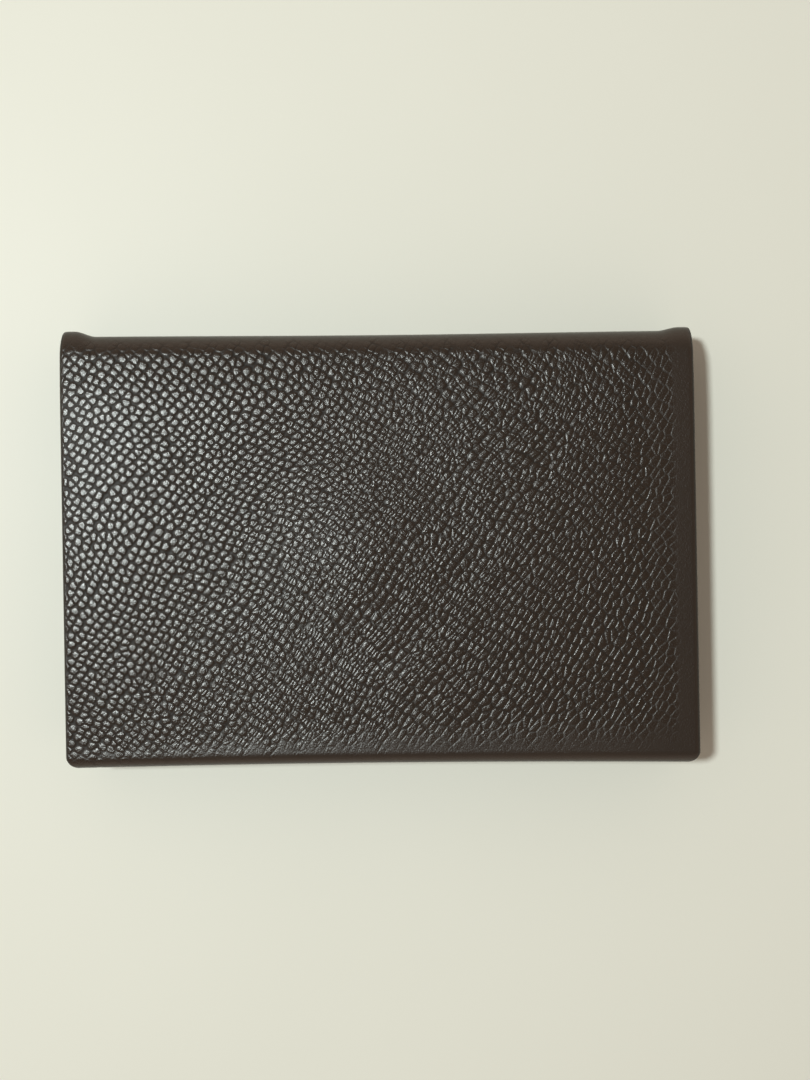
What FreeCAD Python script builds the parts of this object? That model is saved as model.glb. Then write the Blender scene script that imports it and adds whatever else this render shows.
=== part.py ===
import FreeCAD, Part
import math
import os

from FreeCAD import Vector

# Folding business card case, closed, lying on its back. Millimetres.
# X runs along the long side, +Y towards the spine, +Z up through the lid.
# The origin is the middle of the footprint, on the surface that the case lies on.

# Driving dimensions
WIDTH = 105.0            # along X
DEPTH = 72.6             # along Y, with the two ears on the spine
EAR = 0.6                # how far the ears stand past the spine
EAR_LENGTH = 6.6         # from the side edge to where the ear has died away
EAR_PEAK = 2.0           # from the side edge to its highest point
REAR_SETBACK = 0.4       # the rear half's free edge stops this far inside the lid's
CORNER_R = 1.6           # plan radius of the free corners

LEATHER = 0.9            # embossed cover leather
STIFFENER = 0.3          # bonded fibre board
LINING = 0.5             # smooth lining leather
REAR_POCKET = 4.5        # clear height of the gusseted card pocket
SNAP_GAP = 2.3           # between the two pocket panels, where the snap sits
SLIP_POCKET = 0.8        # clear height of the flat pocket in the lid

FOLD_R = 4.0             # outer radius of the two creases along the spine
MOUTH_Y = 17.0           # edge of both pocket panels
SCOOP_WIDTH = 26.0       # thumb scoop in each pocket mouth
SCOOP_DEPTH = 3.2
STIFFENER_MARGIN = 1.0   # the boards stop this far from the creases
BOARD_INSET = 0.6        # and this far inside the painted side edges

GUSSET_SKIN = 0.45       # gusset leather
GUSSET_FLANGE = 3.0      # width glued and sewn between the layers
GUSSET_INSET = 0.3       # gusset edge inside the case's side
GUSSET_DEPTH = 2.6       # how far the middle crease goes in past the flange
GUSSET_BELOW_MOUTH = 1.5

WELT_WIDTH = 3.0         # spacer strips beside the flat pocket

SNAP_Y = -1.5            # snap centre, X is 0
DOME_R = 10.0            # swelling of the lid over the snap
DOME_HEIGHT = 0.45

STITCH_PITCH = 3.0
STITCH_LENGTH = 2.2
STITCH_WIDTH = 0.5
STITCH_HEIGHT = 0.25
STITCH_FROM_EDGE = 2.3

# Worked out from them
HALF = WIDTH / 2
LAMINATE = LEATHER + STIFFENER + LINING
PANEL = LEATHER + LINING
Y_FREE = -DEPTH / 2
Y_REAR_FREE = Y_FREE + REAR_SETBACK
Y_SPINE = DEPTH / 2 - EAR
Y_CREASE = Y_SPINE - FOLD_R

Z_POCKET = LAMINATE                                  # floor of the card pocket
Z_REAR_PANEL = Z_POCKET + REAR_POCKET                # underside of its panel
Z_REAR_TOP = Z_REAR_PANEL + PANEL
Z_FRONT_PANEL = Z_REAR_TOP + SNAP_GAP                # the lid's pocket panel, face down
Z_SLIP = Z_FRONT_PANEL + PANEL
Z_FRONT_LINING = Z_SLIP + SLIP_POCKET
HEIGHT = Z_FRONT_LINING + LAMINATE

REAR_ROLL_R = Z_REAR_TOP / 2
FRONT_ROLL_R = (HEIGHT - Z_FRONT_PANEL) / 2
Y_REAR_ROLL = Y_REAR_FREE + REAR_ROLL_R
Y_FRONT_ROLL = Y_FREE + FRONT_ROLL_R

# Leather bends about the middle of its skin, so a crease keeps its length only if
# the hinge axis stands this far out from the centre of the crease, along Y and Z.
AXIS_OUT = math.pi / 4 * (FOLD_R - LEATHER / 2)
AXIS_Y = Y_CREASE + AXIS_OUT
REAR_AXIS_Z = FOLD_R - AXIS_OUT
FRONT_AXIS_Z = HEIGHT - REAR_AXIS_Z

# Snap fastener
STEM_R = 0.97
STEM_HOLE_R = 1.1
POST_FLANGE_R = 3.6
POST_FLANGE = 0.25
STUD_FLANGE_R = 4.0
STUD_FLANGE = 0.3
STUD_NECK_R = 1.45
STUD_HEAD_R = 1.8
STUD_HEIGHT = 1.6
SOCKET_R = 4.75
SOCKET_HEIGHT = 1.9
SOCKET_HOLE_R = 2.05
SOCKET_LIP = 0.3
SOCKET_ROOF = 0.4
GROOVE_R = 2.65
GROOVE_HEIGHT = 0.6
SPRING_R = 2.17
SPRING_WIRE_R = 0.22
SPRING_OPENING_DEG = 24
CAP_R = 4.75
CAP_THICKNESS = 0.6
FLARE_R = 1.5
FLARE = 0.15
RUN_CLEARANCE = 0.05     # between pieces that move on each other


def box(x0, x1, y0, y1, z0, z1):
    return Part.makeBox(x1 - x0, y1 - y0, z1 - z0, Vector(x0, y0, z0))


def slab(y0, y1, z0, z1):
    """A full-width layer."""
    return box(-HALF, HALF, y0, y1, z0, z1)


def board(y0, y1, z0, z1):
    """A layer of fibre board, closed in at its sides by the lining."""
    reach = HALF - BOARD_INSET
    return box(-reach, reach, y0, y1, z0, z1)


def tongue(y_centre, y_end, z0, z1):
    """A full-width layer whose free edge is a half round about y_centre."""
    radius = (z1 - z0) / 2
    nose = Part.makeCylinder(radius, WIDTH, Vector(-HALF, y_centre, z0 + radius), Vector(1, 0, 0))
    return slab(y_centre, y_end, z0, z1).fuse(nose).removeSplitter()


def trim_corners(solid, y_free):
    """Rounds the two free corners in plan."""
    blank = slab(y_free, DEPTH, -1, HEIGHT + 1)
    corners = [
        e for e in blank.Edges
        if abs(e.CenterOfMass.y - y_free) < 1e-6 and abs(e.CenterOfMass.z - HEIGHT / 2) < 1e-6
    ]
    return solid.common(blank.makeFillet(CORNER_R, corners))


def disc(radius, z0, z1, hole=0.0):
    """An upright round plate on the snap's axis."""
    centre = Vector(0, SNAP_Y, z0)
    plate = Part.makeCylinder(radius, z1 - z0, centre)
    return plate.cut(Part.makeCylinder(hole, z1 - z0, centre)) if hole else plate


def scoop(z0, z1):
    """The piece cut out of a pocket mouth for the thumb: a shallow arc."""
    radius = (SCOOP_WIDTH ** 2 / 4 + SCOOP_DEPTH ** 2) / (2 * SCOOP_DEPTH)
    centre = Vector(0, MOUTH_Y - SCOOP_DEPTH + radius, z0)
    return Part.makeCylinder(radius, z1 - z0, centre)


def crease(r_out, r_in, z_centre, below):
    """A quarter tube along a crease of the spine."""
    axis = Vector(-HALF, Y_CREASE, z_centre)
    tube = Part.makeCylinder(r_out, WIDTH, axis, Vector(1, 0, 0))
    tube = tube.cut(Part.makeCylinder(r_in, WIDTH, axis, Vector(1, 0, 0)))
    z0, z1 = (z_centre - FOLD_R, z_centre) if below else (z_centre, z_centre + FOLD_R)
    return tube.common(slab(Y_CREASE, Y_SPINE, z0, z1))


def swell(solid, z_top, z_bottom):
    """Raises a layer of the lid into the shallow dome over the snap."""
    radius = (DOME_R ** 2 + DOME_HEIGHT ** 2) / (2 * DOME_HEIGHT)

    def cap(z):
        ball = Part.makeSphere(radius, Vector(0, SNAP_Y, z + DOME_HEIGHT - radius))
        return ball.common(box(-DOME_R, DOME_R, SNAP_Y - DOME_R, SNAP_Y + DOME_R, z, z + 1))

    return solid.fuse(cap(z_top)).cut(cap(z_bottom)).removeSplitter()


# Rear half

def rear_shell():
    outside = tongue(Y_REAR_ROLL, Y_CREASE, 0, Z_REAR_TOP)
    inside = tongue(Y_REAR_ROLL, Y_CREASE, LEATHER, Z_REAR_TOP - LEATHER)
    panel_space = slab(Y_REAR_ROLL, Y_CREASE, Z_REAR_TOP / 2, Z_REAR_TOP)
    return trim_corners(outside.cut(inside).cut(panel_space), Y_REAR_FREE)


def rear_lining():
    inside = tongue(Y_REAR_ROLL, Y_CREASE, LEATHER, Z_REAR_TOP - LEATHER)
    pocket = tongue(Y_REAR_ROLL, Y_CREASE, Z_POCKET, Z_REAR_PANEL)
    panel_space = slab(Y_REAR_ROLL, Y_CREASE, Z_REAR_TOP / 2, Z_REAR_TOP)
    lining = inside.cut(pocket).cut(panel_space).cut(rear_stiffener())
    return trim_corners(lining, Y_REAR_FREE)


def rear_stiffener():
    return board(Y_REAR_ROLL, Y_CREASE - STIFFENER_MARGIN, LEATHER, LEATHER + STIFFENER)


def rear_panel(z0, z1, hole):
    """One layer of the card pocket's panel, which turns on the inside of the roll."""
    layer = slab(Y_REAR_ROLL + RUN_CLEARANCE, MOUTH_Y, z0, z1)
    return layer.cut(scoop(z0, z1)).cut(disc(hole, z0, z1))


def rear_pocket_leather():
    return rear_panel(Z_REAR_TOP - LEATHER, Z_REAR_TOP, STEM_HOLE_R)


def rear_pocket_lining():
    z_top = Z_REAR_TOP - LEATHER
    layer = rear_panel(Z_REAR_PANEL, z_top, STEM_HOLE_R)
    return layer.cut(disc(POST_FLANGE_R, z_top - POST_FLANGE, z_top))


def gusset(side):
    """One side of the card pocket: two sewn flanges and a crease that folds inwards."""
    low, high = Z_POCKET + GUSSET_SKIN / 2, Z_REAR_PANEL - GUSSET_SKIN / 2
    edge = HALF - GUSSET_INSET
    flange = edge - GUSSET_FLANGE
    line = [
        (edge, low), (flange, low), (flange - GUSSET_DEPTH, (low + high) / 2),
        (flange, high), (edge, high),
    ]
    y0, y1 = Y_REAR_ROLL, MOUTH_Y - GUSSET_BELOW_MOUTH
    outline = strip_outline(line, GUSSET_SKIN)
    points = [Vector(side * x, y0, z) for x, z in outline]
    face = Part.Face(Part.makePolygon(points + points[:1]))
    return face.extrude(Vector(0, y1 - y0, 0))


def strip_outline(line, thickness):
    """The closed outline of a strip of even thickness along a bent line."""
    normals = []
    for (xa, za), (xb, zb) in zip(line, line[1:]):
        length = math.hypot(xb - xa, zb - za)
        normals.append((-(zb - za) / length, (xb - xa) / length))
    sides = []
    for sign in (1, -1):
        row = []
        for i, (x, z) in enumerate(line):
            (ax, az), (bx, bz) = normals[max(i - 1, 0)], normals[min(i, len(normals) - 1)]
            mitre = sign * thickness / 2 / (1 + ax * bx + az * bz)
            row.append((x + (ax + bx) * mitre, z + (az + bz) * mitre))
        sides.append(row)
    return sides[0] + sides[1][::-1]


# Spine

def spine_leather():
    """The upright strip between the creases, with a rounded ear at each end."""
    y_back = Y_SPINE - LEATHER
    y_ear = Y_SPINE + EAR
    edges = []
    for side in (1, -1):
        rim = [
            (HALF, y_back), (HALF, y_ear - 0.3), (HALF - 0.7, y_ear), (HALF - EAR_PEAK, y_ear),
        ]
        slope = [
            (HALF - EAR_PEAK, y_ear), (HALF - EAR_PEAK - 2.4, y_ear),
            (HALF - EAR_LENGTH + 2, Y_SPINE), (HALF - EAR_LENGTH, Y_SPINE),
        ]
        for poles in (rim, slope):
            curve = Part.BezierCurve()
            curve.setPoles([Vector(side * x, y, FOLD_R) for x, y in poles])
            edges.append(curve.toShape())
    for y, reach in ((y_back, HALF), (Y_SPINE, HALF - EAR_LENGTH)):
        edges.append(Part.makeLine(Vector(-reach, y, FOLD_R), Vector(reach, y, FOLD_R)))
    wire = Part.Wire(Part.__sortEdges__(edges))
    return Part.Face(wire).extrude(Vector(0, 0, HEIGHT - 2 * FOLD_R))


def spine_stay():
    y_outer = Y_SPINE - LEATHER
    return board(y_outer - STIFFENER, y_outer, FOLD_R, HEIGHT - FOLD_R)


def spine_lining():
    layer = slab(Y_SPINE - LAMINATE, Y_SPINE - LEATHER, FOLD_R, HEIGHT - FOLD_R)
    return layer.cut(spine_stay())


# Lid

def front_shell():
    outside = tongue(Y_FRONT_ROLL, Y_CREASE, Z_FRONT_PANEL, HEIGHT)
    inside = tongue(Y_FRONT_ROLL, Y_CREASE, Z_FRONT_PANEL + LEATHER, HEIGHT - LEATHER)
    below = (Z_FRONT_PANEL + HEIGHT) / 2
    panel_space = slab(Y_FRONT_ROLL, Y_CREASE, Z_FRONT_PANEL, below)
    shell = trim_corners(outside.cut(inside).cut(panel_space), Y_FREE)
    return swell(shell, HEIGHT, HEIGHT - LEATHER)


def front_stiffener():
    z_top = HEIGHT - LEATHER
    flat = board(Y_FRONT_ROLL, Y_CREASE - STIFFENER_MARGIN, z_top - STIFFENER, z_top)
    return swell(flat, z_top, z_top - STIFFENER)


def front_lining():
    inside = tongue(Y_FRONT_ROLL, Y_CREASE, Z_FRONT_PANEL + LEATHER, HEIGHT - LEATHER)
    pocket = tongue(Y_FRONT_ROLL, Y_CREASE, Z_SLIP, Z_FRONT_LINING)
    panel_space = slab(Y_FRONT_ROLL, Y_CREASE, Z_FRONT_PANEL, (Z_SLIP + Z_FRONT_LINING) / 2)
    z_top = HEIGHT - LEATHER
    flat = trim_corners(inside.cut(pocket).cut(panel_space), Y_FREE)
    return swell(flat, z_top, Z_FRONT_LINING).cut(front_stiffener())


def front_panel(z0, z1):
    layer = slab(Y_FRONT_ROLL, MOUTH_Y, z0, z1)
    return layer.cut(scoop(z0, z1)).cut(disc(STEM_HOLE_R, z0, z1))


def front_pocket_leather():
    return front_panel(Z_FRONT_PANEL, Z_FRONT_PANEL + LEATHER)


def front_pocket_lining():
    return front_panel(Z_FRONT_PANEL + LEATHER, Z_SLIP)


def welt(side):
    """A strip that keeps the flat pocket open and carries its side seam."""
    x0, x1 = sorted((side * HALF, side * (HALF - WELT_WIDTH)))
    return box(x0, x1, Y_FRONT_ROLL, MOUTH_Y - GUSSET_BELOW_MOUTH, Z_SLIP, Z_FRONT_LINING)


def stitches(z, direction):
    """Both side seams of a pocket panel, as thread runs lying on the leather."""
    half = STITCH_WIDTH / 2
    y = Y_REAR_ROLL + STITCH_PITCH
    rows = []
    while y < MOUTH_Y - STITCH_PITCH:
        for side in (-1, 1):
            x = side * (HALF - STITCH_FROM_EDGE)
            bar = Part.makeBox(STITCH_WIDTH, STITCH_LENGTH, STITCH_HEIGHT, Vector(x - half, y, z))
            rounded = [e for e in bar.Edges if e.CenterOfMass.z > z + STITCH_HEIGHT * 0.75]
            bar = bar.makeChamfer(STITCH_HEIGHT * 0.4, rounded)
            if direction < 0:
                bar = bar.mirror(Vector(x, y, z), Vector(0, 0, 1))
            rows.append(bar)
        y += STITCH_PITCH
    return Part.makeCompound(rows)


# Snap fastener

def snap_post():
    """The rivet that holds the stud, its flange buried under the pocket's lining."""
    z = Z_REAR_TOP - LEATHER
    flange = disc(POST_FLANGE_R, z - POST_FLANGE, z)
    stem = disc(STEM_R, z, Z_REAR_TOP + STUD_HEIGHT - 0.5)
    return flange.fuse(stem).removeSplitter()


def snap_stud():
    z = Z_REAR_TOP
    flange = disc(STUD_FLANGE_R, z, z + STUD_FLANGE)
    flange = flange.makeFillet(0.12, [e for e in flange.Edges if abs(e.CenterOfMass.z - z) > 0.2])
    neck = disc(STUD_NECK_R, z + STUD_FLANGE, z + STUD_HEIGHT)
    head = disc(STUD_HEAD_R, z + STUD_HEIGHT - 0.85, z + STUD_HEIGHT)
    head = head.makeFillet(0.35, [e for e in head.Edges if len(e.Vertexes) == 1])
    hollow = disc(STEM_R + 0.02, z, z + STUD_HEIGHT - 0.45)
    return flange.fuse([neck, head]).cut(hollow).removeSplitter()


def snap_socket():
    z_top = Z_FRONT_PANEL
    z = z_top - SOCKET_HEIGHT
    shell = disc(SOCKET_R, z, z_top)
    shell = shell.makeFillet(0.5, [e for e in shell.Edges if abs(e.CenterOfMass.z - z) < 1e-6])
    well = disc(SOCKET_HOLE_R, z, z_top - SOCKET_ROOF)
    groove = disc(GROOVE_R, z + SOCKET_LIP, z + SOCKET_LIP + GROOVE_HEIGHT)
    hole = disc(STEM_R + 0.02, z_top - SOCKET_ROOF, z_top)
    return shell.cut(well).cut(groove).cut(hole).removeSplitter()


def snap_spring():
    """The open wire ring in the socket's groove, drawn sprung open round the stud."""
    z = Z_FRONT_PANEL - SOCKET_HEIGHT + SOCKET_LIP + GROOVE_HEIGHT / 2
    sweep = 360 - SPRING_OPENING_DEG
    ring = Part.makeTorus(SPRING_R, SPRING_WIRE_R, Vector(0, 0, 0), Vector(0, 0, 1), 0, 360, sweep)
    ring.translate(Vector(0, SNAP_Y, z))
    return ring


def snap_cap():
    """The rivet that holds the socket, its flat head inside the lid's pocket."""
    head = disc(CAP_R, Z_SLIP, Z_SLIP + CAP_THICKNESS)
    rim = [e for e in head.Edges if abs(e.CenterOfMass.z - Z_SLIP) > 0.3]
    head = head.makeFillet(0.3, rim)
    z_roof = Z_FRONT_PANEL - SOCKET_ROOF
    stem = disc(STEM_R, z_roof, Z_SLIP)
    flare = disc(FLARE_R, z_roof - FLARE, z_roof)
    return head.fuse([stem, flare]).removeSplitter()


def crease_layers(z_centre, below):
    """Leather and lining of one crease."""
    return (
        crease(FOLD_R, FOLD_R - LEATHER, z_centre, below),
        crease(FOLD_R - LEATHER, FOLD_R - LAMINATE, z_centre, below),
    )


def build():
    rear_crease = crease_layers(FOLD_R, below=True)
    front_crease = crease_layers(HEIGHT - FOLD_R, below=False)
    return {
        "rear_cover_leather": rear_shell(),
        "rear_cover_lining": rear_lining(),
        "rear_stiffener": rear_stiffener(),
        "gusset_left": gusset(-1),
        "gusset_right": gusset(1),
        "rear_crease_leather": rear_crease[0],
        "rear_crease_lining": rear_crease[1],
        "rear_pocket_leather": rear_pocket_leather(),
        "rear_pocket_lining": rear_pocket_lining(),
        "rear_pocket_stitches": stitches(Z_REAR_TOP, 1),
        "snap_post": snap_post(),
        "snap_stud": snap_stud(),
        "spine_leather": spine_leather(),
        "spine_stay": spine_stay(),
        "spine_lining": spine_lining(),
        "front_crease_leather": front_crease[0],
        "front_crease_lining": front_crease[1],
        "front_cover_leather": front_shell(),
        "front_cover_lining": front_lining(),
        "front_stiffener": front_stiffener(),
        "front_pocket_leather": front_pocket_leather(),
        "front_pocket_lining": front_pocket_lining(),
        "front_pocket_stitches": stitches(Z_FRONT_PANEL, -1),
        "front_welt_left": welt(-1),
        "front_welt_right": welt(1),
        "snap_socket": snap_socket(),
        "snap_spring": snap_spring(),
        "snap_cap": snap_cap(),
    }


def main():
    os.makedirs("parts", exist_ok=True)
    for name, shape in build().items():
        solids = shape.Solids
        if not shape.isValid() or not solids or min(s.Volume for s in solids) <= 0:
            raise ValueError(f"{name} is not a sound solid")
        whole = solids[0] if len(solids) == 1 else Part.makeCompound(solids)
        whole.exportStep(f"parts/{name}.step")
        print(f"{name}: {len(solids)} solid(s), {whole.Volume:.1f} mm3")
    print(f"height {HEIGHT:.2f}, rear axis {AXIS_Y:.3f} {REAR_AXIS_Z:.3f}, "
          f"front axis z {FRONT_AXIS_Z:.3f}, crease y {Y_CREASE:.2f}, "
          f"rolls {Y_REAR_ROLL:.2f} {Y_FRONT_ROLL:.2f}")


main()
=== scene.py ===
import math

import bmesh
import bpy
import numpy as np
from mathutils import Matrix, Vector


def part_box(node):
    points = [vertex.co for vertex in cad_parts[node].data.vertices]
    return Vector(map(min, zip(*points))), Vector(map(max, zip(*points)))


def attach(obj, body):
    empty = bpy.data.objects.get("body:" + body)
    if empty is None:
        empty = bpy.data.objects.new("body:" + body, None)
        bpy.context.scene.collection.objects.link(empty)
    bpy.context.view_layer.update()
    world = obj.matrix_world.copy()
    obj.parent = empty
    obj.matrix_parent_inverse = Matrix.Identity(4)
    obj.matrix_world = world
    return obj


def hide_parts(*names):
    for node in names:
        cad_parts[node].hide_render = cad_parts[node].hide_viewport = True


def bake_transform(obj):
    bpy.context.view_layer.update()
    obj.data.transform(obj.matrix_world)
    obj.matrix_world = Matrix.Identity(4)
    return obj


# Folding business card case. One strip of embossed calfskin is cut flat, rolled over at
# both free edges and folded twice along the spine. Its two ends are the pocket panels.
# Every leather piece is made flat, with X across the hide, Y along its run and Z its
# thickness, and then folded along that one run. Metres throughout.

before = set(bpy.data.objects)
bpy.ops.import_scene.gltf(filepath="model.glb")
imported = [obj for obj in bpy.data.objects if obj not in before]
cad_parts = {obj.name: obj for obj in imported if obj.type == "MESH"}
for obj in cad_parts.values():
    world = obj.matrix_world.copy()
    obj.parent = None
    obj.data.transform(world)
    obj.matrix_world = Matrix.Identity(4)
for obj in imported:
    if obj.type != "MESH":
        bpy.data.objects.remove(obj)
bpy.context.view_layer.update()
MM = 0.001

front_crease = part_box("front_crease_leather")
front_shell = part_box("front_cover_leather")
rear_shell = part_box("rear_cover_leather")
front_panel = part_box("front_pocket_leather")
rear_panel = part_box("rear_pocket_leather")
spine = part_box("spine_leather")
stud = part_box("snap_stud")

HALF = front_crease[1].x
TOP = front_crease[1].z
Y_CREASE = front_crease[0].y
Y_SPINE = front_crease[1].y
FOLD_R = Y_SPINE - Y_CREASE
Y_FREE = front_shell[0].y
MOUTH_Y = front_panel[1].y
FRONT_PANEL_Z = front_panel[0].z
REAR_PANEL_Z = rear_panel[1].z
FRONT_ROLL_R = (TOP - FRONT_PANEL_Z) / 2
REAR_ROLL_R = REAR_PANEL_Z / 2
SNAP_Y = (stud[0].y + stud[1].y) / 2
EAR = spine[1].y - Y_SPINE

LEATHER = 0.9 * MM
BOARD = 0.3 * MM             # stiffener between leather and lining
LAMINATE = 1.7 * MM          # leather, board and lining
PANEL = 1.4 * MM             # leather and lining
EDGE = 0.32 * MM             # width of the painted bead along the sides
SKIN = 0.45 * MM             # gusset leather
GUSSET_FLANGE = 3.0 * MM     # glued and sewn between the layers
GUSSET_FOLD = 2.6 * MM       # how far its crease goes in past the flange
THREAD = 0.5 * MM            # its thickness
STITCH, STITCH_WIDTH, STITCH_PITCH = 2.2 * MM, 0.5 * MM, 3.0 * MM
SEAM_IN = 2.3 * MM           # seam line to side edge


# The run of the hide: (length, point on it, direction or centre, radius, angle).

def straight(y0, z0, y1, z1):
    length = math.hypot(y1 - y0, z1 - z0)
    return {"length": length, "from": (y0, z0), "way": ((y1 - y0) / length, (z1 - z0) / length)}


def bend(cy, cz, radius, start_deg, turn_deg):
    return {"length": math.radians(abs(turn_deg)) * radius, "centre": (cy, cz),
            "radius": radius, "start": math.radians(start_deg)}


Y_REAR_ROLL = rear_shell[0].y + REAR_ROLL_R
Y_FRONT_ROLL = Y_FREE + FRONT_ROLL_R
RUN = [
    straight(MOUTH_Y, FRONT_PANEL_Z, Y_FRONT_ROLL, FRONT_PANEL_Z),   # front pocket panel
    bend(Y_FRONT_ROLL, TOP - FRONT_ROLL_R, FRONT_ROLL_R, -90, 180),  # lid's rolled edge
    straight(Y_FRONT_ROLL, TOP, Y_CREASE, TOP),                      # lid
    bend(Y_CREASE, TOP - FOLD_R, FOLD_R, 90, 90),                    # front crease
    straight(Y_SPINE, TOP - FOLD_R, Y_SPINE, FOLD_R),                # spine
    bend(Y_CREASE, FOLD_R, FOLD_R, 0, 90),                           # rear crease
    straight(Y_CREASE, 0, Y_REAR_ROLL, 0),                           # rear cover
    bend(Y_REAR_ROLL, REAR_ROLL_R, REAR_ROLL_R, -90, 180),           # rear rolled edge
    straight(Y_REAR_ROLL, REAR_PANEL_Z, MOUTH_Y, REAR_PANEL_Z),      # rear pocket panel
]
MARKS = np.cumsum([0] + [part["length"] for part in RUN])
(PANEL_END, ROLL_END, LID_END, FRONT_CREASE_END, SPINE_END,
 REAR_CREASE_END, REAR_END, REAR_ROLL_END, HIDE_END) = MARKS[1:]
SEAM = SPINE_END - 0.3 * MM      # on the flat of the spine, so both sides shade alike


def fold(flat):
    """Takes points of the flat hide (across, along, out) to where they end up."""
    x, s, h = flat.T
    folded = np.stack([x, x * 0, x * 0], 1)
    for part, start in zip(RUN, MARKS):
        here = s >= start - 1e-9
        t, out = s[here] - start, h[here]
        if "way" in part:
            (y0, z0), (wy, wz) = part["from"], part["way"]
            folded[here, 1] = y0 + wy * t - wz * out
            folded[here, 2] = z0 + wz * t + wy * out
        else:
            (cy, cz), radius = part["centre"], part["radius"]
            angle = part["start"] - t / radius
            folded[here, 1] = cy + (radius + out) * np.cos(angle)
            folded[here, 2] = cz + (radius + out) * np.sin(angle)
    return folded


def ease(value, low, high):
    """0 at low, 1 at high, smooth between."""
    t = np.clip((value - low) / (high - low), 0, 1)
    return t * t * (3 - 2 * t)


# How handwork leaves the case: rounded corners, ears, hollow edges and the snap's swelling

CORNER_R = 2.1 * MM
CORNER_REACH = 6 * MM            # how far in from the side a corner's rounding draws leather
SCOOP_HALF, SCOOP_DEPTH = 13 * MM, 3.2 * MM
SCOOP_REACH = 14 * MM            # how far down the panel its scoop draws leather
EAR_PEAK, EAR_LENGTH = 2.0 * MM, 5.6 * MM
LEFT_EAR = 1.5                   # its rise, as a multiple of the right ear's
END_TURN = 0.6 * MM              # radius at which the spine's ends turn in
SPINE_HOLLOW = 0.22 * MM         # how far the spine sinks in its middle
SIDE_TURN, SIDE_DROP = 0.9 * MM, 0.3 * MM       # the turned-down side edges, width and depth
SEAM_CHANNEL, SEAM_SINK = 0.55 * MM, 0.14 * MM  # half width and depth
OUT_OF_SQUARE = 0.007            # sideways slip per length, 0.4 degrees
EDGE_HOLLOW, EDGE_HOLLOW_FROM = 0.45 * MM, -14 * MM
SWELLING = 0.6 * MM              # of the lid over the snap, before its top is rounded off
SWELLING_R, SWELLING_TOP_R = 18 * MM, 2.2 * MM
SWELLING_X = -3.5 * MM
CROWN, CROWN_WIDTH = 0.28 * MM, 14 * MM         # the lid sinks towards its sides
DROOP, DROOP_LENGTH = 0.42 * MM, 8 * MM         # and towards the fold


def cut_to_shape(flat):
    """Trims the flat piece: thumb scoops at both mouths and rounded corners at the rolls."""
    flat = flat.copy()
    x, s = flat[:, 0], flat[:, 1]
    radius = (SCOOP_HALF ** 2 + SCOOP_DEPTH ** 2) / (2 * SCOOP_DEPTH)
    inside = np.sqrt(np.maximum(radius ** 2 - x ** 2, 0)) - (radius - SCOOP_DEPTH)
    scoop = np.where(np.abs(x) < SCOOP_HALF, np.maximum(inside, 0), 0)
    flat[:, 1] = np.where(s < SCOOP_REACH, s + scoop * (1 - s / SCOOP_REACH), s)
    from_end = HIDE_END - s
    flat[:, 1] = np.where(from_end < SCOOP_REACH, s - scoop * (1 - from_end / SCOOP_REACH),
                          flat[:, 1])
    y = fold(np.stack([x, flat[:, 1], x * 0], 1))[:, 1]
    on_front = flat[:, 1] < SPINE_END
    free = np.where(on_front, Y_FREE, rear_shell[0].y)
    short = np.clip(CORNER_R - (y - free), 0, CORNER_R)
    lost = CORNER_R - np.sqrt(CORNER_R ** 2 - short ** 2)
    share = np.clip((np.abs(x) - (HALF - CORNER_REACH)) / CORNER_REACH, 0, 1)
    flat[:, 0] = x - np.sign(x) * lost * share
    return flat


def raise_ears(flat):
    """The spine bulges past the folds near its ends, and each end turns in."""
    flat = flat.copy()
    side = HALF - np.abs(flat[:, 0])
    rise = EAR * ease(side, EAR_LENGTH, EAR_PEAK) * np.where(flat[:, 0] < 0, LEFT_EAR, 1.0)
    turn_in = np.clip(END_TURN - side, 0, END_TURN)
    drop = END_TURN - np.sqrt(END_TURN ** 2 - (turn_in * 0.96) ** 2)
    middle = SPINE_HOLLOW * (1 - ease(np.abs(flat[:, 0]), 0, HALF))
    s = flat[:, 1]
    near = ease(s, LID_END, FRONT_CREASE_END) * (1 - ease(s, SPINE_END, REAR_CREASE_END))
    flat[:, 2] += (rise - drop - middle) * near
    return flat


def sew_down(flat):
    """The pocket panels' seams draw their leather down into a shallow channel, and the outer
    face turns down along the sides."""
    flat = flat.copy()
    x, s, h = flat.T
    outer_face = h > -LEATHER / 2
    on_panel = (s < PANEL_END) | (s > REAR_ROLL_END)
    channel = np.exp(-((np.abs(x) - (HALF - SEAM_IN)) / SEAM_CHANNEL) ** 2)
    turn = np.clip((np.abs(x) - (HALF - SIDE_TURN)) / SIDE_TURN, 0, 0.98)
    flat[:, 2] -= SEAM_SINK * channel * on_panel * outer_face
    flat[:, 2] -= SIDE_DROP * (1 - np.sqrt(1 - turn ** 2)) * outer_face
    return flat


def settle(points):
    """The case slips a little out of square, its free edges pull in along their middle, and
    the lid swells over the snap and sinks towards its sides and the fold."""
    points = points.copy()
    points[:, 0] -= OUT_OF_SQUARE * points[:, 1]
    x, y, z = points.T
    hollow = EDGE_HOLLOW * (1 - (x / HALF) ** 2) * ease(y, EDGE_HOLLOW_FROM, Y_FREE)
    points[:, 1] += hollow
    away = np.hypot(np.hypot(x - SWELLING_X, y - SNAP_Y), SWELLING_TOP_R) / SWELLING_R
    dome = SWELLING * np.clip(1 - away, 0, 1) ** 1.4
    points[:, 2] += dome * ease(z, TOP - LAMINATE - 0.2 * MM, TOP - LAMINATE)
    crown = CROWN * np.clip((np.abs(x) - HALF) / CROWN_WIDTH + 1, 0, 1) ** 2
    droop = DROOP * ease(y, Y_CREASE - DROOP_LENGTH, Y_SPINE)
    points[:, 2] -= (crown + droop) * ease(z, TOP - 4.4 * MM, TOP - 0.4 * MM)
    return points


# Nodes

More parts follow.
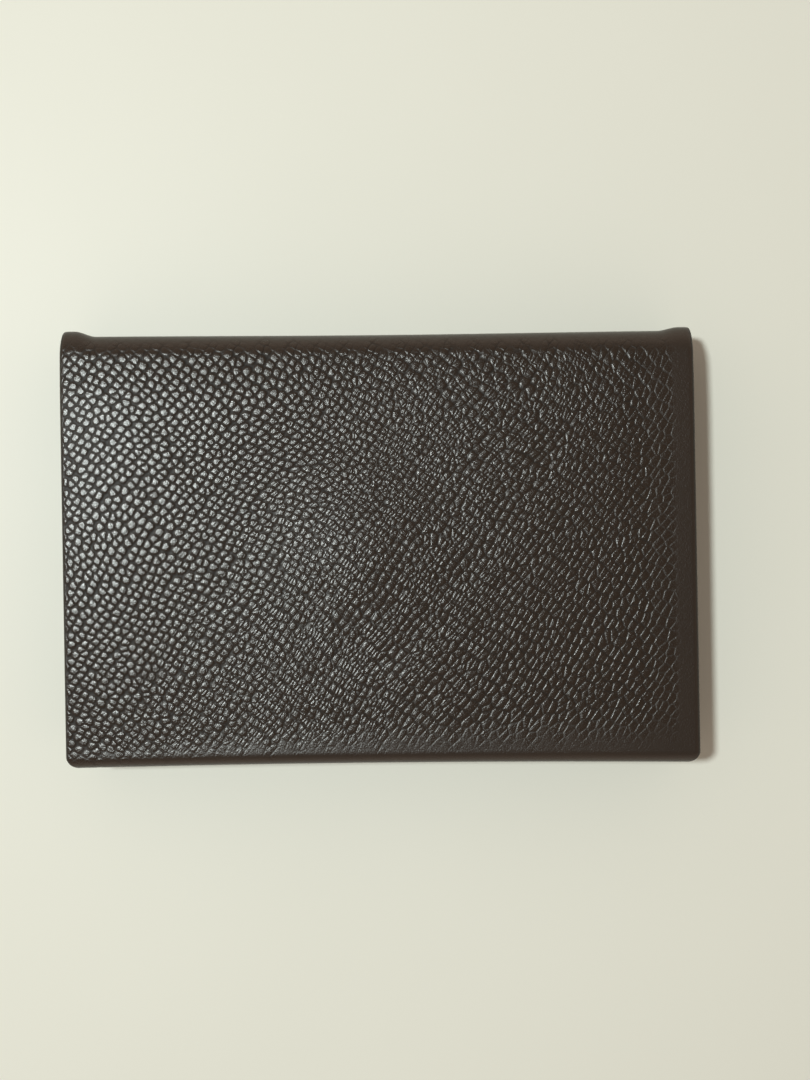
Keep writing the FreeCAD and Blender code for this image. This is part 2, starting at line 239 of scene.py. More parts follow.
def add(tree, kind, links=None, **settings):
    """Adds a node. Settings that name an input set its value, and links give it a source."""
    node = tree.nodes.new(kind)
    for key, value in settings.items():
        name = key.replace("_", " ")
        inputs = {socket.name: socket for socket in node.inputs if socket.enabled}
        if hasattr(node, key):
            setattr(node, key, value)
        elif name in inputs:
            inputs[name].default_value = value
        else:
            node.inputs[int(key[1:])].default_value = value
    for key, source in (links or {}).items():
        tree.links.new(source, node.inputs[key])
    return node


def colour(hexa):
    """An sRGB hex value as linear RGBA."""
    channels = [int(hexa[i:i + 2], 16) / 255 for i in (1, 3, 5)]
    return [c / 12.92 if c <= 0.04045 else ((c + 0.055) / 1.055) ** 2.4 for c in channels] + [1]


# The embossing plate's pattern: low round pebbles 1.34 mm apart, parted by narrow creases, in
# slanting rows that wander. Towards the lower right they draw out along the rows.
PEBBLE_PITCH = 1.34 * MM
PEBBLE_RISE = 0.07 * MM
CREASE_SLOPE = 0.22            # from a crease's bottom to the top, as a share of the pitch
CORNER_SLOPE = 0.36            # the same towards a pebble's corners
ROW_SLANT = math.radians(54)
ROUND = (1.0, 1.0, 0.5, 0.76)       # length to width, width, randomness, where corners sink
DRAWN_OUT = (1.7, 0.86, 0.6, 0.98)


def pebbles(tree, lay):
    """Pebble height, 0 in the creases and 1 on the tops, for a position on the flat hide."""
    drift = add(tree, "ShaderNodeTexNoise", {"Vector": lay}, Scale=1 / (38 * MM), Detail=1.0)
    drift = add(tree, "ShaderNodeVectorMath", {0: drift.outputs["Color"]}, operation="SUBTRACT",
                _1=(0.5, 0.5, 0.5))
    drift = add(tree, "ShaderNodeVectorMath", {0: drift.outputs[0]}, operation="SCALE",
                Scale=8 * MM)
    place = add(tree, "ShaderNodeVectorMath", {0: lay, 1: drift.outputs[0]}, operation="ADD")
    turned = add(tree, "ShaderNodeVectorRotate", {"Vector": place.outputs[0]},
                 rotation_type="Z_AXIS", Angle=-ROW_SLANT)
    tops = []
    for length, width, randomness, corner in (ROUND, DRAWN_OUT):
        drawn = add(tree, "ShaderNodeVectorMath", {0: turned.outputs[0]}, operation="MULTIPLY",
                    _1=(1 / length, 1.0, 0.0))
        crease, centre = (
            add(tree, "ShaderNodeTexVoronoi", {"Vector": drawn.outputs[0]}, feature=feature,
                voronoi_dimensions="2D", Scale=1 / (PEBBLE_PITCH * width),
                Randomness=randomness)
            for feature in ("DISTANCE_TO_EDGE", "F1"))
        wall = add(tree, "ShaderNodeMapRange", {"Value": crease.outputs["Distance"]},
                   From_Max=CREASE_SLOPE)
        rest = add(tree, "ShaderNodeMath", {1: wall.outputs[0]}, operation="SUBTRACT", _0=2.0)
        flat_top = add(tree, "ShaderNodeMath", {0: rest.outputs[0], 1: wall.outputs[0]},
                       operation="MULTIPLY")
        dome = add(tree, "ShaderNodeMapRange", {"Value": centre.outputs["Distance"]},
                   interpolation_type="SMOOTHSTEP", From_Min=corner,
                   From_Max=corner - CORNER_SLOPE, To_Max=1.0)
        tops.append(add(tree, "ShaderNodeMath", {0: flat_top.outputs[0], 1: dome.outputs[0]},
                        operation="MULTIPLY"))
    across = add(tree, "ShaderNodeVectorMath", {0: place.outputs[0]}, operation="DOT_PRODUCT",
                 _1=(1.0, -0.6, 0.0))
    drawn_out = add(tree, "ShaderNodeMapRange", {"Value": across.outputs["Value"]},
                    From_Min=-95 * MM, From_Max=-25 * MM, To_Max=0.85)
    return add(tree, "ShaderNodeMix", {0: drawn_out.outputs[0], 2: tops[0].outputs[0],
               3: tops[1].outputs[0]}, data_type="FLOAT").outputs[0]


def embossing():
    """A modifier that presses the pebbles into the flat hide as real relief."""
    tree = bpy.data.node_groups.new("Embossing plate", "GeometryNodeTree")
    for way in ("INPUT", "OUTPUT"):
        tree.interface.new_socket("Geometry", in_out=way, socket_type="NodeSocketGeometry")
    entry = add(tree, "NodeGroupInput")
    lay = add(tree, "GeometryNodeInputNamedAttribute", data_type="FLOAT_VECTOR", Name="lay")
    grain = add(tree, "GeometryNodeInputNamedAttribute", data_type="FLOAT", Name="grain")
    height = pebbles(tree, lay.outputs["Attribute"])
    sunk = add(tree, "ShaderNodeMath", {0: height}, operation="SUBTRACT", _1=1.0)
    rise = add(tree, "ShaderNodeMath", {0: sunk.outputs[0]}, operation="MULTIPLY",
               _1=PEBBLE_RISE)
    kept = add(tree, "ShaderNodeMath", {0: rise.outputs[0], 1: grain.outputs["Attribute"]},
               operation="MULTIPLY")
    offset = add(tree, "ShaderNodeCombineXYZ", {"Z": kept.outputs[0]})
    moved = add(tree, "GeometryNodeSetPosition",
                {"Geometry": entry.outputs[0], "Offset": offset.outputs[0]})
    add(tree, "NodeGroupOutput", {0: moved.outputs[0]})
    return tree


# Materials

def material(name):
    made = bpy.data.materials.new(name)
    made.use_nodes = True
    tree = made.node_tree
    tree.nodes.clear()
    shader = add(tree, "ShaderNodeBsdfPrincipled")
    add(tree, "ShaderNodeOutputMaterial", {"Surface": shader.outputs[0]})
    return made, tree, shader


def embossed_calfskin():
    """Vegetable-tanned calf, spray-finished dark brown and pressed hot under a pebble plate.
    The tops shine softly between fine specks of pore. The valleys stay dull, and their colour is
    darkened as painted shade in the creases."""
    made, tree, shader = material("Embossed calfskin")
    lay = add(tree, "ShaderNodeAttribute", attribute_name="lay").outputs["Vector"]
    grain = add(tree, "ShaderNodeAttribute", attribute_name="grain").outputs["Fac"]
    height = pebbles(tree, lay)
    depth = add(tree, "ShaderNodeMath", {0: height}, operation="SUBTRACT", _1=1.0)
    depth = add(tree, "ShaderNodeMath", {0: depth.outputs[0], 1: grain}, operation="MULTIPLY")
    top = add(tree, "ShaderNodeMath", {0: depth.outputs[0]}, operation="ADD", _1=1.0).outputs[0]
    cloud = add(tree, "ShaderNodeTexNoise", {"Vector": lay}, Scale=1 / (24 * MM), Detail=3.0)
    pigment = add(tree, "ShaderNodeMix", {"Factor": cloud.outputs["Fac"]}, data_type="RGBA",
                  A=colour("#281e17"), B=colour("#2f241b"))
    # Painted shade: the colour darkens to #1b140f down in the pebbles' creases, standing in for the
    # shade that gathers there.
    crease_shade = add(tree, "ShaderNodeMix", {"Factor": top, "B": pigment.outputs["Result"]},
                 data_type="RGBA", A=colour("#1b140f"))
    tree.links.new(crease_shade.outputs["Result"], shader.inputs["Base Color"])
    fine = add(tree, "ShaderNodeTexNoise", {"Vector": lay}, Scale=1 / (0.3 * MM), Detail=3.0,
               Roughness=0.6)
    speck = add(tree, "ShaderNodeMapRange", {"Value": fine.outputs["Fac"]}, From_Min=0.35,
                From_Max=0.65, To_Min=-0.85, To_Max=-0.25)
    plated = add(tree, "ShaderNodeMath", {0: height, 1: speck.outputs[0]}, operation="ADD")
    plated = add(tree, "ShaderNodeMath", {0: plated.outputs[0], 1: grain}, operation="MULTIPLY")
    gloss = add(tree, "ShaderNodeMapRange", {"Value": plated.outputs[0]}, From_Min=-0.55,
                From_Max=0.2, To_Min=0.62, To_Max=0.23)
    tree.links.new(gloss.outputs["Result"], shader.inputs["Roughness"])
    shine = add(tree, "ShaderNodeMapRange", {"Value": top}, To_Min=0.22, To_Max=0.57)
    tree.links.new(shine.outputs["Result"], shader.inputs["Specular IOR Level"])
    bump = add(tree, "ShaderNodeBump", {"Height": fine.outputs["Fac"]}, Distance=0.048 * MM,
               Strength=1.0)
    bump = add(tree, "ShaderNodeBump", {"Height": top, "Normal": bump.outputs[0]},
               Distance=0.09 * MM, Strength=1.0)
    tree.links.new(bump.outputs[0], shader.inputs["Normal"])
    shader.inputs["IOR"].default_value = 1.5
    shader.inputs["Coat Weight"].default_value = 0.06
    shader.inputs["Coat Roughness"].default_value = 0.3
    return made


def smooth_lining():
    """Thin pigmented calf with its grain left plain: matt, with fine pores."""
    made, tree, shader = material("Smooth lining calf")
    lay = add(tree, "ShaderNodeTexCoord").outputs["Object"]
    cloud = add(tree, "ShaderNodeTexNoise", {"Vector": lay}, Scale=1 / (15 * MM), Detail=3.0)
    tone = add(tree, "ShaderNodeMix", {"Factor": cloud.outputs["Fac"]}, data_type="RGBA",
               A=colour("#362e28"), B=colour("#413831"))
    tree.links.new(tone.outputs["Result"], shader.inputs["Base Color"])
    pores = add(tree, "ShaderNodeTexVoronoi", {"Vector": lay}, Scale=1 / (0.35 * MM))
    bump = add(tree, "ShaderNodeBump", {"Height": pores.outputs["Distance"]},
               Distance=0.012 * MM)
    tree.links.new(bump.outputs[0], shader.inputs["Normal"])
    shader.inputs["Roughness"].default_value = 0.55
    return made


def edge_paint():
    """Pigmented acrylic edge paint, laid on in coats and rubbed down: even, with a dull gloss."""
    made, tree, shader = material("Painted leather edge")
    place = add(tree, "ShaderNodeTexCoord").outputs["Object"]
    streak = add(tree, "ShaderNodeTexNoise", {"Vector": place}, Scale=1 / (1.2 * MM), Detail=2.0)
    tone = add(tree, "ShaderNodeMix", {"Factor": streak.outputs["Fac"]}, data_type="RGBA",
               A=colour("#28251f"), B=colour("#322e28"))
    tree.links.new(tone.outputs["Result"], shader.inputs["Base Color"])
    bump = add(tree, "ShaderNodeBump", {"Height": streak.outputs["Fac"]}, Distance=0.03 * MM)
    tree.links.new(bump.outputs[0], shader.inputs["Normal"])
    shader.inputs["Roughness"].default_value = 0.5
    return made


def waxed_linen():
    """Three-ply linen thread drawn through beeswax: dark, with a low waxy shine and fine hairs."""
    made, tree, shader = material("Waxed linen thread")
    place = add(tree, "ShaderNodeTexCoord").outputs["Object"]
    fibre = add(tree, "ShaderNodeTexNoise", {"Vector": place}, Scale=1 / (0.12 * MM), Detail=3.0)
    tone = add(tree, "ShaderNodeMix", {"Factor": fibre.outputs["Fac"]}, data_type="RGBA",
               A=colour("#2b251f"), B=colour("#4a4137"))
    tree.links.new(tone.outputs["Result"], shader.inputs["Base Color"])
    bump = add(tree, "ShaderNodeBump", {"Height": fibre.outputs["Fac"]}, Distance=0.02 * MM)
    tree.links.new(bump.outputs[0], shader.inputs["Normal"])
    shader.inputs["Roughness"].default_value = 0.5
    return made


def turned_metal(name, light, dark, roughness, grain):
    """A small press-stud part: pressed brass under bright plate, or drawn wire. Handling and
    polishing leave fine marks that only show as a slight unevenness of the shine."""
    made, tree, shader = material(name)
    place = add(tree, "ShaderNodeTexCoord").outputs["Object"]
    marks = add(tree, "ShaderNodeTexNoise", {"Vector": place}, Scale=1 / grain, Detail=4.0)
    tone = add(tree, "ShaderNodeMix", {"Factor": marks.outputs["Fac"]}, data_type="RGBA",
               A=colour(dark), B=colour(light))
    tree.links.new(tone.outputs["Result"], shader.inputs["Base Color"])
    shine = add(tree, "ShaderNodeMapRange", {"Value": marks.outputs["Fac"]},
                To_Min=roughness * 0.7, To_Max=roughness * 1.5)
    tree.links.new(shine.outputs["Result"], shader.inputs["Roughness"])
    bump = add(tree, "ShaderNodeBump", {"Height": marks.outputs["Fac"]}, Distance=0.004 * MM)
    tree.links.new(bump.outputs[0], shader.inputs["Normal"])
    shader.inputs["Metallic"].default_value = 1.0
    return made


def fibre_board():
    """Bonded leather fibre board: tan, matt, felted from shavings that show as short streaks."""
    made, tree, shader = material("Bonded leather board")
    place = add(tree, "ShaderNodeTexCoord").outputs["Object"]
    felt = add(tree, "ShaderNodeMapping", {"Vector": place}, Scale=(1.0, 0.35, 1.0))
    felt = add(tree, "ShaderNodeTexNoise", {"Vector": felt.outputs[0]}, Scale=1 / (0.5 * MM),
               Detail=5.0)
    tone = add(tree, "ShaderNodeMix", {"Factor": felt.outputs["Fac"]}, data_type="RGBA",
               A=colour("#5f4630"), B=colour("#93745a"))
    tree.links.new(tone.outputs["Result"], shader.inputs["Base Color"])
    bump = add(tree, "ShaderNodeBump", {"Height": felt.outputs["Fac"]}, Distance=0.04 * MM)
    tree.links.new(bump.outputs[0], shader.inputs["Normal"])
    shader.inputs["Roughness"].default_value = 0.85
    return made


CALF = embossed_calfskin()
LINING = smooth_lining()
PAINT = edge_paint()
THREAD_LINEN = waxed_linen()
PALLADIUM = turned_metal("Palladium plated brass", "#c9c4b9", "#b5afa3", 0.2, 0.6 * MM)
SPRING_STEEL = turned_metal("Drawn spring steel", "#a3a29e", "#84837f", 0.32, 0.25 * MM)
FIBRE_BOARD = fibre_board()
PLATE = embossing()


# Leather

def deselect():
    if bpy.context.mode != "OBJECT":
        bpy.ops.object.mode_set(mode="OBJECT")
    bpy.ops.object.select_all(action="DESELECT")


def pick(obj, faces=None, edges=None):
    """Selects faces or edges in edit mode by a rule, and nothing else."""
    bpy.ops.mesh.select_mode(type="FACE" if faces else "EDGE")
    bpy.ops.mesh.select_all(action="DESELECT")
    mesh = bmesh.from_edit_mesh(obj.data)
    for item in (mesh.faces if faces else mesh.edges):
        if (faces or edges)(item):
            item.select_set(True)
    bmesh.update_edit_mesh(obj.data)


def blank(name, x0, x1, s0, s1, outer, inner, rows, columns=(1, 1), rounding=0, sides=(-1, 1)):
    """A flat strip cut from the hide, its outer face in fine squares."""
    deselect()
    bpy.ops.mesh.primitive_grid_add(x_subdivisions=1, y_subdivisions=rows, size=1)
    obj = bpy.context.object
    obj.name = obj.data.name = name
    obj.scale = (x1 - x0, s1 - s0, 1)
    obj.location = ((x0 + x1) / 2, (s0 + s1) / 2, outer)
    bpy.ops.object.transform_apply(location=True, scale=True)
    bpy.ops.object.mode_set(mode="EDIT")
    bpy.ops.mesh.select_all(action="SELECT")
    bpy.ops.mesh.extrude_region_move(TRANSFORM_OT_translate={"value": (0, 0, inner - outer)})
    bpy.ops.mesh.select_all(action="SELECT")
    bpy.ops.mesh.normals_make_consistent(inside=False)
    if rounding:
        ends = [x0 if side < 0 else x1 for side in sides]
        pick(obj, edges=lambda e: min(abs(e.verts[0].co.x - x) for x in ends) < 1e-7
             and (e.verts[0].co - e.verts[1].co).xz.length < 1e-7
             and (len(sides) == 1 or abs(e.verts[0].co.z - outer) < 1e-7))
        bpy.ops.mesh.bevel(offset=rounding, segments=3, profile=0.5)
    for cuts in columns:
        if cuts > 1:
            pick(obj, edges=lambda e: all(abs(v.co.z - outer) < 1e-7 for v in e.verts)
                 and abs(e.verts[0].co.y - e.verts[1].co.y) < 1e-7)
            bpy.ops.mesh.subdivide(number_cuts=cuts - 1)
    bpy.ops.object.mode_set(mode="OBJECT")
    return obj


def points_of(obj):
    co = np.empty(len(obj.data.vertices) * 3)
    obj.data.vertices.foreach_get("co", co)
    return co.reshape(-1, 3)


def put_points(obj, co):
    obj.data.vertices.foreach_set("co", co.ravel())
    obj.data.update()


def grain_depth(flat):
    """How deep the embossing stands. It is ironed flat at the creases, the rolls and the sides,
    over a wider band on the right. Each mark is followed by how far from it the grain starts,
    and how far from it the grain stands at its full depth."""
    x, s, _ = flat.T
    rng = np.random.default_rng(4)
    wander = sum(np.sin(x / MM * rng.uniform(0.2, 1.6) + rng.uniform(0, 6)) for _ in range(6))
    wander = wander * 0.3 * MM
    depth = ease(HALF + x, 0.2 * MM, 0.8 * MM)
    depth *= 0.06 + 0.94 * ease(HALF - x + 2 * wander, 2.5 * MM, 9.5 * MM)
    rightward = (x + HALF) / (2 * HALF)
    for mark, smooth, faded in ((LID_END + 4.6 * MM, 1.0 * MM, 5.4 * MM),
                                (ROLL_END - 1.5 * MM, (3.0 * rightward - 1.0) * MM,
                                 (3.5 + 7.5 * rightward) * MM),
                                (REAR_CREASE_END, 1.5 * MM, 4 * MM),
                                (REAR_END, 1.5 * MM, 4 * MM)):
        depth *= 0.04 + 0.96 * ease(np.abs(s - mark) + wander, smooth, faded)
    on_spine = ease(s, FRONT_CREASE_END - 3 * MM, FRONT_CREASE_END) * \
        (1 - ease(s, SPINE_END, SPINE_END + 3 * MM))
    return depth * (1 - 0.45 * on_spine)


def leather(name, s0, s1, rows, columns, replaced):
    """A stretch of the embossed strip: cut, embossed, then folded."""
    reach = HALF - EDGE
    obj = blank(name, -reach, reach, s0, s1, 0, -LEATHER, rows, columns, rounding=0.15 * MM)
    flat = cut_to_shape(points_of(obj))
    lay = obj.data.attributes.new("lay", "FLOAT_VECTOR", "POINT")
    lay.data.foreach_set("vector", (flat * [1, 1, 0]).astype(np.float32).ravel())
    depth = grain_depth(flat) * (flat[:, 2] > -0.02 * MM)
    grain = obj.data.attributes.new("grain", "FLOAT", "POINT")
    grain.data.foreach_set("value", depth.astype(np.float32))
    put_points(obj, flat)
    press = obj.modifiers.new("Embossing", "NODES")
    press.node_group = PLATE
    bpy.ops.object.modifier_apply(modifier=press.name)
    put_points(obj, settle(fold(sew_down(raise_ears(points_of(obj))))))
    finish_piece(obj, CALF, replaced)
    return obj


def finish_piece(obj, what, replaced=()):
    obj.data.materials.clear()
    obj.data.materials.append(what)
    deselect()
    obj.select_set(True)
    bpy.context.view_layer.objects.active = obj
    bpy.ops.object.shade_smooth_by_angle(angle=math.radians(50))
    if replaced:
        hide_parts(*replaced)


def on_lid_and_spine(obj):
    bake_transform(obj)


def on_rear_and_spine(obj):
    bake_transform(obj)


def on_pocket(obj):
    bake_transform(obj)


lid = leather("lid_calfskin", PANEL_END, SEAM, 270, (19, 18),
              ["front_cover_leather", "front_crease_leather", "spine_leather"])
on_lid_and_spine(lid)
rear = leather("rear_calfskin", SEAM, REAR_END, 210, (17, 18),
               ["rear_cover_leather", "rear_crease_leather"])
on_rear_and_spine(rear)
front_pocket = leather("front_pocket_calfskin", 0, PANEL_END, 140, (16, 16),
                       ["front_pocket_leather"])
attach(front_pocket, "lid")
rear_pocket = leather("rear_pocket_calfskin", REAR_END, HIDE_END, 170, (16, 16),
                      ["rear_pocket_leather"])
on_pocket(rear_pocket)


def lining(name, s0, s1, outer, inner, replaced):
    """A stretch of lining. At the ears only its outer face rises, so it still covers the stay."""
    rows = round((s1 - s0) / (0.7 * MM))
    reach = HALF - EDGE
    obj = blank(name, -reach, reach, s0, s1, -outer, -inner, rows)
    bpy.ops.object.mode_set(mode="EDIT")
    pick(obj, edges=lambda e: abs(e.verts[0].co.x - e.verts[1].co.x) > 1 * MM)
    bpy.ops.mesh.subdivide(number_cuts=60)
    bpy.ops.object.mode_set(mode="OBJECT")
    flat = cut_to_shape(points_of(obj))
    raised = raise_ears(flat)
    inside_face = flat[:, 2] < -(outer + inner) / 2
    raised[:, 2] = np.where(inside_face, np.minimum(raised[:, 2], flat[:, 2]), raised[:, 2])
    put_points(obj, settle(fold(raised)))
    finish_piece(obj, LINING, replaced)
    return obj


inside = lining("lid_lining", ROLL_END, SEAM, LEATHER + BOARD, LAMINATE,
                ["front_cover_lining", "front_crease_lining", "spine_lining"])
on_lid_and_spine(inside)
inside = lining("rear_lining", SEAM, REAR_END, LEATHER + BOARD, LAMINATE,
                ["rear_cover_lining", "rear_crease_lining"])
on_rear_and_spine(inside)
inside = lining("front_pocket_lining_calf", 0, PANEL_END, LEATHER, PANEL, ["front_pocket_lining"])
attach(inside, "lid")
inside = lining("rear_pocket_lining_calf", REAR_END, HIDE_END, LEATHER, PANEL,
                ["rear_pocket_lining"])
on_pocket(inside)


def painted_edge(name, s0, s1, thickness):
    """The painted bead that closes the layers' side edges, left and right."""
    rows = round((s1 - s0) / (0.4 * MM))
    obj = blank(name, HALF - EDGE - 0.05 * MM, HALF, s0, s1, 0, -LAMINATE, rows,
                rounding=0.25 * MM, sides=(1,))
    mirror = obj.modifiers.new("Other side", "MIRROR")
    mirror.use_mirror_merge = False
    bpy.ops.object.modifier_apply(modifier=mirror.name)
    flat = points_of(obj)
    s = flat[:, 1]
    wanted = thickness(s)
    middle = -LAMINATE / 2
    flat[:, 2] = np.where(flat[:, 2] < middle, flat[:, 2] + LAMINATE - wanted, flat[:, 2])
    flat = cut_to_shape(flat)
    put_points(obj, settle(fold(sew_down(raise_ears(flat)))))
    finish_piece(obj, PAINT)
    return obj


def lid_edge_thickness(s):
    """The bead closes the whole roll and slip pocket up to the mouth, and the layers past it."""
    y = fold(np.stack([s * 0, s, s * 0], 1))[:, 1]
    whole = FRONT_ROLL_R - 0.02 * MM
    alone = np.where(s < PANEL_END, PANEL, LAMINATE)
    return np.where((y < MOUTH_Y - 1.5 * MM) & (s < LID_END), whole, alone)


edge = painted_edge("lid_painted_edge", 0, SEAM, lid_edge_thickness)
on_lid_and_spine(edge)
edge = painted_edge("rear_painted_edge", SEAM, REAR_END, lambda s: s * 0 + LAMINATE)
on_rear_and_spine(edge)
edge = painted_edge("rear_pocket_painted_edge", REAR_END, HIDE_END,
                    lambda s: np.where(s < REAR_ROLL_END, REAR_ROLL_R - 0.02 * MM, PANEL))
on_pocket(edge)


# Inside the case: gussets, welts, thread, metal and board

def gusset(side, node):
    """One folded side of the card pocket: a flange above and below, and a crease turned in."""
    low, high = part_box(node)
    floor_z, roof_z = low.z + SKIN / 2, high.z - SKIN / 2
    reach = max(abs(low.x), abs(high.x))
    half_way = (roof_z - floor_z) / 2
    deselect()
    bpy.ops.mesh.primitive_plane_add(size=1)
    obj = bpy.context.object
    obj.name = obj.data.name = node + "_calf"
    obj.scale = (GUSSET_FLANGE, high.y - low.y, 1)
    obj.location = (side * (reach - GUSSET_FLANGE / 2), (low.y + high.y) / 2, floor_z)
    bpy.ops.object.transform_apply(location=True, scale=True)
    bpy.ops.object.mode_set(mode="EDIT")
    inner = side * (reach - GUSSET_FLANGE)
    pick(obj, edges=lambda e: all(abs(v.co.x - inner) < 1e-6 for v in e.verts))
    for across, up in ((-GUSSET_FOLD, half_way), (GUSSET_FOLD, half_way), (GUSSET_FLANGE, 0)):
        bpy.ops.mesh.extrude_region_move(TRANSFORM_OT_translate={"value": (side * across, 0, up)})
    pick(obj, edges=lambda e: not e.is_boundary)
    bpy.ops.mesh.bevel(offset=0.7 * MM, segments=5, profile=0.5)
    pick(obj, edges=lambda e: abs(e.verts[0].co.y - e.verts[1].co.y) > 1 * MM)
    bpy.ops.mesh.subdivide(number_cuts=70)
    bpy.ops.mesh.select_all(action="SELECT")
    bpy.ops.mesh.normals_make_consistent(inside=False)
    bpy.ops.object.mode_set(mode="OBJECT")
    points = points_of(obj)
    x, y, z = points.T
    free = np.clip(1 - np.abs(z - floor_z - half_way) / half_way, 0, 1)
    along = (y - low.y) / (high.y - low.y)
    wave = 0.16 * np.sin(y / MM * 0.31 + side) + 0.10 * np.sin(y / MM * 0.83 + 2 * side)
    points[:, 0] += side * free * (wave + 0.5 * (along - 0.5)) * MM
    points[:, 2] += free * 0.12 * MM * np.sin(y / MM * 0.5 + 3 * side)
    put_points(obj, points)
    skin = obj.modifiers.new("Skin", "SOLIDIFY")
    skin.thickness = SKIN - 0.02 * MM
    skin.offset = 0
    bpy.ops.object.modifier_apply(modifier=skin.name)
    rim = obj.modifiers.new("Rim", "BEVEL")
    rim.width = 0.1 * MM
    rim.segments = 2
    rim.angle_limit = math.radians(50)
    bpy.ops.object.modifier_apply(modifier=rim.name)
    finish_piece(obj, LINING, [node])
    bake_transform(obj)
    return obj


def welt(side, node):
    """A skived strip beside the slip pocket, behind the painted edge, soft at its corners."""
    low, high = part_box(node)
    outer, inner = side * (HALF - EDGE), side * (HALF - (high.x - low.x))
    deselect()
    bpy.ops.mesh.primitive_cube_add(size=1)
    obj = bpy.context.object
    obj.name = obj.data.name = node + "_strip"
    obj.scale = (abs(outer - inner), high.y - low.y, high.z - low.z - 0.02 * MM)
    obj.location = ((outer + inner) / 2, (low.y + high.y) / 2, (low.z + high.z) / 2)
    bpy.ops.object.transform_apply(location=True, scale=True)
    bpy.ops.object.mode_set(mode="EDIT")
    pick(obj, edges=lambda e: all(abs(v.co.x - inner) < 1e-6 or abs(v.co.y - high.y) < 1e-6
                                  for v in e.verts))
    bpy.ops.mesh.bevel(offset=0.25 * MM, segments=4, profile=0.5)
    pick(obj, edges=lambda e: abs(e.verts[0].co.y - e.verts[1].co.y) > 5 * MM)
    bpy.ops.mesh.subdivide(number_cuts=60)
    bpy.ops.object.mode_set(mode="OBJECT")
    points = points_of(obj)
    wander = 0.12 * MM * np.sin(points[:, 1] / MM * 0.42 + side)
    points[:, 0] += np.where(np.abs(points[:, 0] - inner) < 1 * MM, wander, 0)
    put_points(obj, points)
    finish_piece(obj, LINING, [node])
    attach(obj, "lid")


def one_stitch():
    """A saddle stitch of three-ply waxed linen, its ends going down into their holes."""
    deselect()
    bpy.ops.mesh.primitive_cylinder_add(vertices=18, radius=THREAD / 2, depth=STITCH,
                                        rotation=(math.radians(90), 0, 0))
    obj = bpy.context.object
    bpy.ops.object.transform_apply(rotation=True)
    bpy.ops.object.mode_set(mode="EDIT")
    pick(obj, edges=lambda e: abs(e.verts[0].co.y - e.verts[1].co.y) > STITCH / 2)
    bpy.ops.mesh.subdivide(number_cuts=15)
    bpy.ops.object.mode_set(mode="OBJECT")
    points = points_of(obj)
    x, y, z = points.T
    turn = np.arctan2(z, x)
    ply = 1 + 0.13 * np.cos(3 * (turn - y / STITCH * 2.6))
    end = np.abs(y) / (STITCH / 2)
    taper = 1 - 0.35 * end ** 4
    points[:, 0] = x * ply * taper + y * 0.12
    points[:, 2] = z * ply * taper * 0.85 - 0.30 * MM * end ** 5
    put_points(obj, points)
    return obj


def seam_thread(name, node, body, outward):
    """Both side seams of a pocket panel."""
    low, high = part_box(node)
    surface = low.z if outward > 0 else high.z
    reach = high.x - STITCH_WIDTH / 2
    count = round((high.y - low.y - STITCH) / STITCH_PITCH) + 1
    first = one_stitch()
    shape = points_of(first)
    made = []
    rng = np.random.default_rng(7)
    for side in (-1, 1):
        for i in range(count):
            copy = first.copy()
            copy.data = first.data.copy()
            bpy.context.collection.objects.link(copy)
            place = shape * [side, 1, 1] + rng.normal(0, 0.02 * MM, 3)
            place[:, 2] *= outward
            place += [side * reach, low.y + STITCH / 2 + i * STITCH_PITCH, surface]
            put_points(copy, place)
            made.append(copy)
    bpy.data.objects.remove(first)
    deselect()
    for copy in made:
        copy.select_set(True)
    bpy.context.view_layer.objects.active = made[0]
    bpy.ops.object.join()
    obj = bpy.context.object
    obj.name = obj.data.name = name
    bpy.ops.object.mode_set(mode="EDIT")
    bpy.ops.mesh.select_all(action="SELECT")
    bpy.ops.mesh.normals_make_consistent(inside=False)
    bpy.ops.object.mode_set(mode="OBJECT")
    finish_piece(obj, THREAD_LINEN, [node])
    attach(obj, body)


for side, end in ((-1, "left"), (1, "right")):
    gusset(side, "gusset_" + end)
    welt(side, "front_welt_" + end)
seam_thread("rear_pocket_thread", "rear_pocket_stitches", "rear_pocket", 1)
seam_thread("front_pocket_thread", "front_pocket_stitches", "lid", -1)

for node, finish in (("snap_stud", PALLADIUM), ("snap_post", PALLADIUM), ("snap_socket", PALLADIUM),
                     ("snap_cap", PALLADIUM), ("snap_spring", SPRING_STEEL),
                     ("front_stiffener", FIBRE_BOARD), ("rear_stiffener", FIBRE_BOARD),
                     ("spine_stay", FIBRE_BOARD)):
    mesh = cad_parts[node].data
    mesh.materials.clear()
    mesh.materials.append(finish)


# Table, light and camera

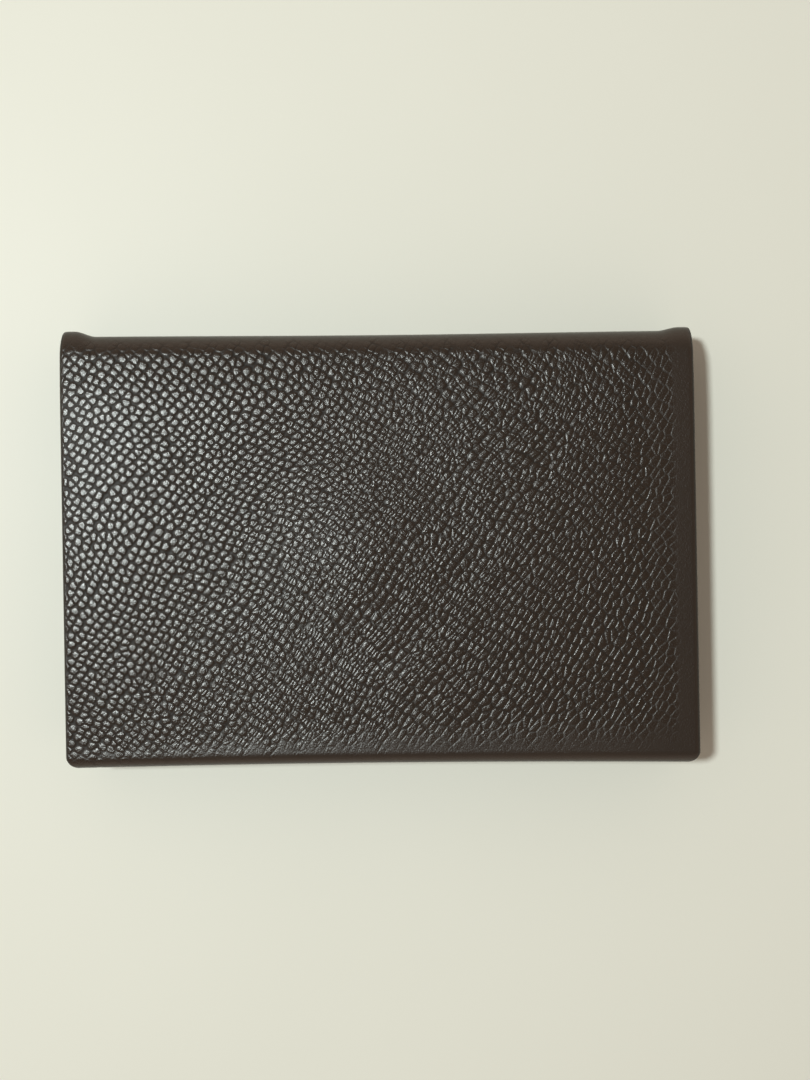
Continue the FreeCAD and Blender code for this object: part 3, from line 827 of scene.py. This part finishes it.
def tabletop():
    """Laminated desk top: cream melamine, faintly mottled, with a low broad gloss."""
    made, tree, shader = material("Cream laminate")
    place = add(tree, "ShaderNodeTexCoord").outputs["Object"]
    mottle = add(tree, "ShaderNodeTexNoise", {"Vector": place}, Scale=9.0, Detail=4.0)
    tone = add(tree, "ShaderNodeMix", {"Factor": mottle.outputs["Fac"]}, data_type="RGBA",
               A=colour("#e4e4da"), B=colour("#ebebe2"))
    tree.links.new(tone.outputs["Result"], shader.inputs["Base Color"])
    shader.inputs["Roughness"].default_value = 0.5
    return made


deselect()
bpy.ops.mesh.primitive_plane_add(size=6)
floor = bpy.context.object
floor.name = "tabletop"
floor.data.materials.append(tabletop())

# A dim warm room: little light comes from straight above, more from the walls. The lamp hangs
# over the left, where the embossing shines, and the camera looks straight down on the lid.
LAMP_AT, LAMP_AIM = (-0.345, 0.105, 1.0), (-0.06, 0.05, 0)
CAMERA_X, CAMERA_Y, CAMERA_ABOVE = 4.2 * MM, 1.1 * MM, 247.5 * MM
CAMERA_TURN = math.radians(-0.6)

room = bpy.data.worlds.new("Room")
bpy.context.scene.world = room
room.use_nodes = True
sky = room.node_tree
way = add(sky, "ShaderNodeTexCoord").outputs["Generated"]
way = add(sky, "ShaderNodeSeparateXYZ", {0: way})
level = add(sky, "ShaderNodeMapRange", {"Value": way.outputs["Z"]}, To_Min=0.96, To_Max=0.06)
sky.links.new(level.outputs["Result"], sky.nodes["Background"].inputs["Strength"])
sky.nodes["Background"].inputs["Color"].default_value = colour("#ffebd8")

deselect()
bpy.ops.object.light_add(type="SPOT", location=LAMP_AT)
lamp = bpy.context.object
lamp.name = "Ceiling lamp"
lamp.data.shadow_soft_size = 0.055
lamp.data.spot_size = math.radians(50)
lamp.data.spot_blend = 1.0
lamp.data.energy = 30.5
lamp.data.color = colour("#f6fffc")[:3]
aim = Vector(LAMP_AIM) - lamp.location
lamp.rotation_euler = aim.to_track_quat("-Z", "Y").to_euler()

deselect()
bpy.ops.object.camera_add(location=(CAMERA_X, CAMERA_Y, TOP + CAMERA_ABOVE),
                          rotation=(0, 0, CAMERA_TURN))
camera = bpy.context.object
camera.data.lens = 50
camera.data.clip_start = 0.01
bpy.context.scene.camera = camera
bpy.context.scene.view_settings.view_transform = "Standard"
